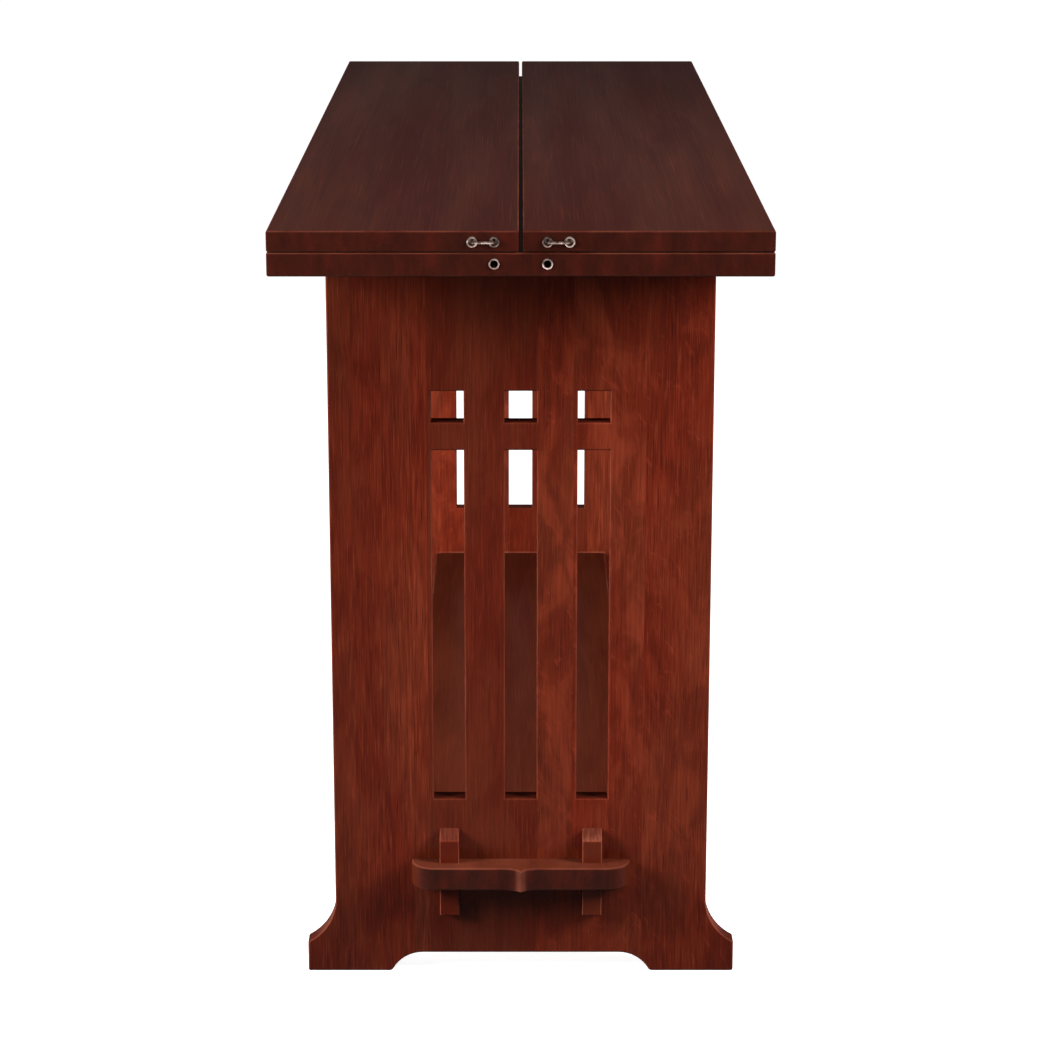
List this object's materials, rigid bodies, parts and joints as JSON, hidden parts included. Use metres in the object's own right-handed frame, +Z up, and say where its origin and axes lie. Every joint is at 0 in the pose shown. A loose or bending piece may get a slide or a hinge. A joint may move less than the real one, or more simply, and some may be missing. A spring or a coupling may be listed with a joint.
{
  "type": "flip-top table",
  "caption": "Trestle table with slotted slab ends and a keyed through-tenon shelf; stacked leaves flip out sideways on edge hinges over pull-out supports.",
  "frame": {"origin": "on the floor, under the middle of the table top", "axes": "+X across the table to the right leaf, +Y along the table to the rear end, +Z up"},
  "size_m": [0.4623, 1.3836, 0.762],
  "materials": {
    "top_wood": "dark red-brown stain under satin lacquer",
    "panel_wood": "red-brown stain under satin lacquer",
    "shelf_wood": "red-brown stain under satin lacquer",
    "key_wood": "red-brown stain under satin lacquer",
    "frame_wood": "red-brown stain under satin lacquer",
    "nickel": "dull nickel plate",
    "brass": "aged satin brass",
    "steel": "zinc-plated steel"
  },
  "bodies": {
    "base": {"fixed_top": "top_wood", "end_panel_front": "panel_wood", "end_panel_rear": "panel_wood", "lower_shelf": "shelf_wood", "tenon_key_front_left": "key_wood", "tenon_key_front_right": "key_wood", "tenon_key_rear_left": "key_wood", "tenon_key_rear_right": "key_wood", "apron_rail_left": "frame_wood", "apron_rail_right": "frame_wood", "top_cleat_front": "frame_wood", "top_cleat_rear": "frame_wood", "cleat_screws": "steel", "rail_screws": "steel", "top_eyelets": "nickel", "top_hinge_screws": "brass", "top_hinge_plate_left_front": "brass", "top_hinge_plate_left_middle": "brass", "top_hinge_plate_left_rear": "brass", "top_hinge_plate_right_front": "brass", "top_hinge_plate_right_middle": "brass", "top_hinge_plate_right_rear": "brass", "hinge_pin_left_front": "brass", "hinge_pin_left_middle": "brass", "hinge_pin_left_rear": "brass", "hinge_pin_right_front": "brass", "hinge_pin_right_middle": "brass", "hinge_pin_right_rear": "brass"},
    "leaf_left": {"leaf_left": "top_wood", "leaf_left_hinge_screws": "brass", "leaf_left_eyelets": "nickel", "leaf_hinge_plate_left_front": "brass", "leaf_hinge_plate_left_middle": "brass", "leaf_hinge_plate_left_rear": "brass"},
    "leaf_right": {"leaf_right": "top_wood", "leaf_right_hinge_screws": "brass", "leaf_right_eyelets": "nickel", "leaf_hinge_plate_right_front": "brass", "leaf_hinge_plate_right_middle": "brass", "leaf_hinge_plate_right_rear": "brass"},
    "lock_pin_front_left": {"lock_pin_front_left": "nickel"},
    "leaf_support_front_left": {"leaf_support_front_left": "frame_wood", "support_pegs_front_left": "frame_wood"},
    "lock_pin_front_right": {"lock_pin_front_right": "nickel"},
    "leaf_support_front_right": {"leaf_support_front_right": "frame_wood", "support_pegs_front_right": "frame_wood"},
    "lock_pin_rear_left": {"lock_pin_rear_left": "nickel"},
    "leaf_support_rear_left": {"leaf_support_rear_left": "frame_wood", "support_pegs_rear_left": "frame_wood"},
    "lock_pin_rear_right": {"lock_pin_rear_right": "nickel"},
    "leaf_support_rear_right": {"leaf_support_rear_right": "frame_wood", "support_pegs_rear_right": "frame_wood"}
  },
  "joints": [
    {"name": "left_leaf_flip", "type": "hinge", "parent": "base", "child": "leaf_left", "pos_m": [-0.22865, 0, 0.74235], "axis": [0, -1, 0], "range_deg": [0, 180]},
    {"name": "right_leaf_flip", "type": "hinge", "parent": "base", "child": "leaf_right", "pos_m": [0.22865, 0, 0.74235], "axis": [0, 1, 0], "range_deg": [0, 180]},
    {"name": "front_left_support_slide", "type": "slide", "parent": "base", "child": "leaf_support_front_left", "axis": [-1, 0, 0], "range_m": [0, 0.17]},
    {"name": "front_right_support_slide", "type": "slide", "parent": "base", "child": "leaf_support_front_right", "axis": [1, 0, 0], "range_m": [0, 0.17]},
    {"name": "rear_left_support_slide", "type": "slide", "parent": "base", "child": "leaf_support_rear_left", "axis": [-1, 0, 0], "range_m": [0, 0.17]},
    {"name": "rear_right_support_slide", "type": "slide", "parent": "base", "child": "leaf_support_rear_right", "axis": [1, 0, 0], "range_m": [0, 0.17]},
    {"name": "front_left_lock_pull", "type": "slide", "parent": "leaf_left", "child": "lock_pin_front_left", "axis": [0, -1, 0], "range_m": [0, 0.026]},
    {"name": "front_right_lock_pull", "type": "slide", "parent": "leaf_right", "child": "lock_pin_front_right", "axis": [0, -1, 0], "range_m": [0, 0.026]},
    {"name": "rear_left_lock_pull", "type": "slide", "parent": "leaf_left", "child": "lock_pin_rear_left", "axis": [0, 1, 0], "range_m": [0, 0.026]},
    {"name": "rear_right_lock_pull", "type": "slide", "parent": "leaf_right", "child": "lock_pin_rear_right", "axis": [0, 1, 0], "range_m": [0, 0.026]}
  ]
}
